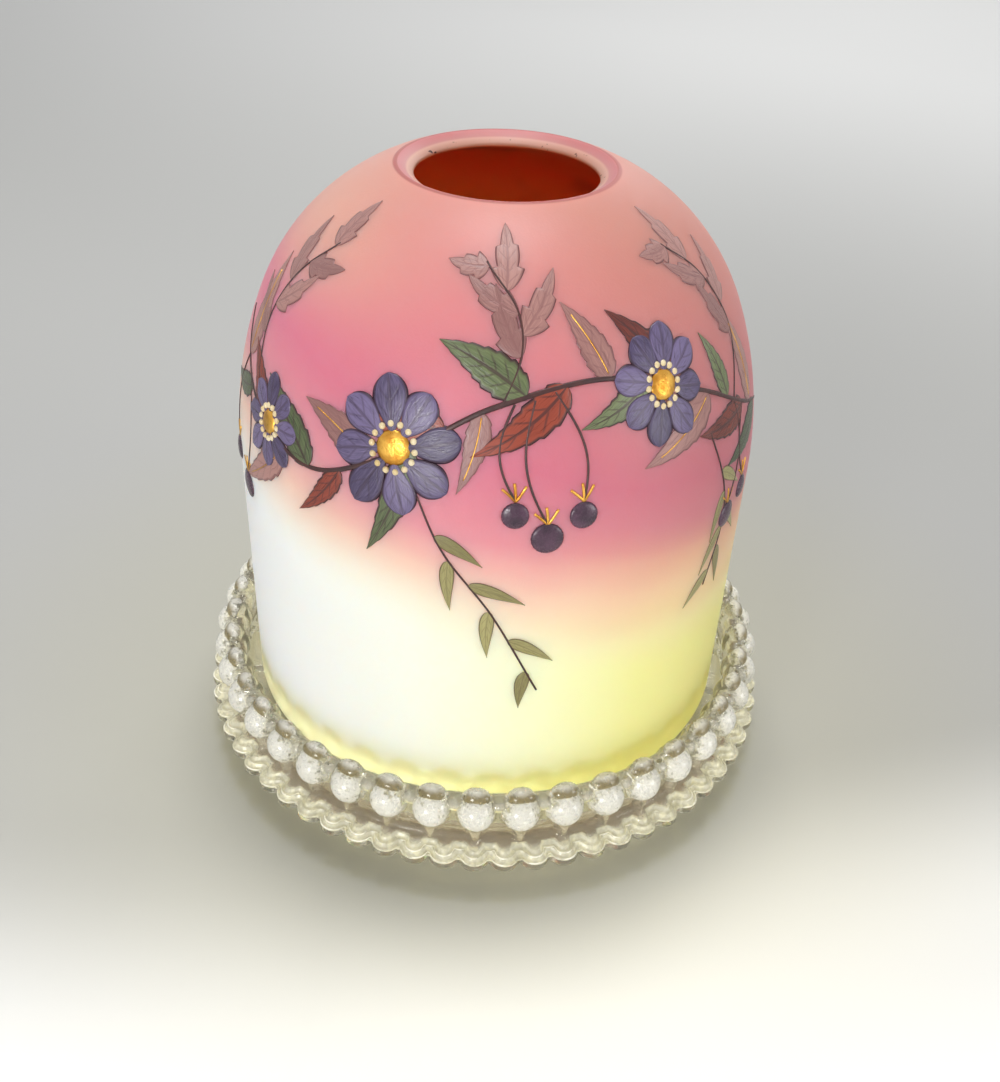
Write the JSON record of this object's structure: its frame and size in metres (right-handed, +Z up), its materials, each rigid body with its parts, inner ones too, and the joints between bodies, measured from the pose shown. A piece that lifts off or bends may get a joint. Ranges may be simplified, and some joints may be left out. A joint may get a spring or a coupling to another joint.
{
  "type": "fairy lamp",
  "caption": "Candle lamp with a satin glass dome shade, open at the top, that rests in a clear pressed-glass base with a beaded rim, over a night light in a glass cup.",
  "frame": {"origin": "centre of the foot ring, on the surface that the lamp stands on", "axes": "+Z up along the lamp's axis, +X to the right and -Y to the front as seen in the picture"},
  "size_m": [0.1, 0.1, 0.1],
  "materials": {
    "clear_glass": "clear pressed glass with a faint straw tint",
    "satin_glass": "satin opal glass, pink at the crown shading to yellow at the foot",
    "cup_glass": "clear glass",
    "plaster": "matt plaster",
    "wax": "satin wax",
    "wick_cotton": "twisted cotton",
    "tin": "tinned sheet"
  },
  "bodies": {
    "base": {"base": "clear_glass"},
    "shade": {"shade": "satin_glass"},
    "candle_cup": {"candle_cup": "cup_glass"},
    "night_light": {"plaster_case": "plaster", "wax": "wax", "wick_left": "wick_cotton", "wick_right": "wick_cotton", "wick_tab_left": "tin", "wick_tab_right": "tin"}
  },
  "joints": [
    {"name": "shade_lift", "type": "slide", "parent": "base", "child": "shade", "axis": [0, 0, 1], "range_m": [0, 0.11]},
    {"name": "cup_lift", "type": "slide", "parent": "base", "child": "candle_cup", "axis": [0, 0, 1], "range_m": [0, 0.02]},
    {"name": "light_lift", "type": "slide", "parent": "candle_cup", "child": "night_light", "axis": [0, 0, 1], "range_m": [0, 0.028]}
  ]
}
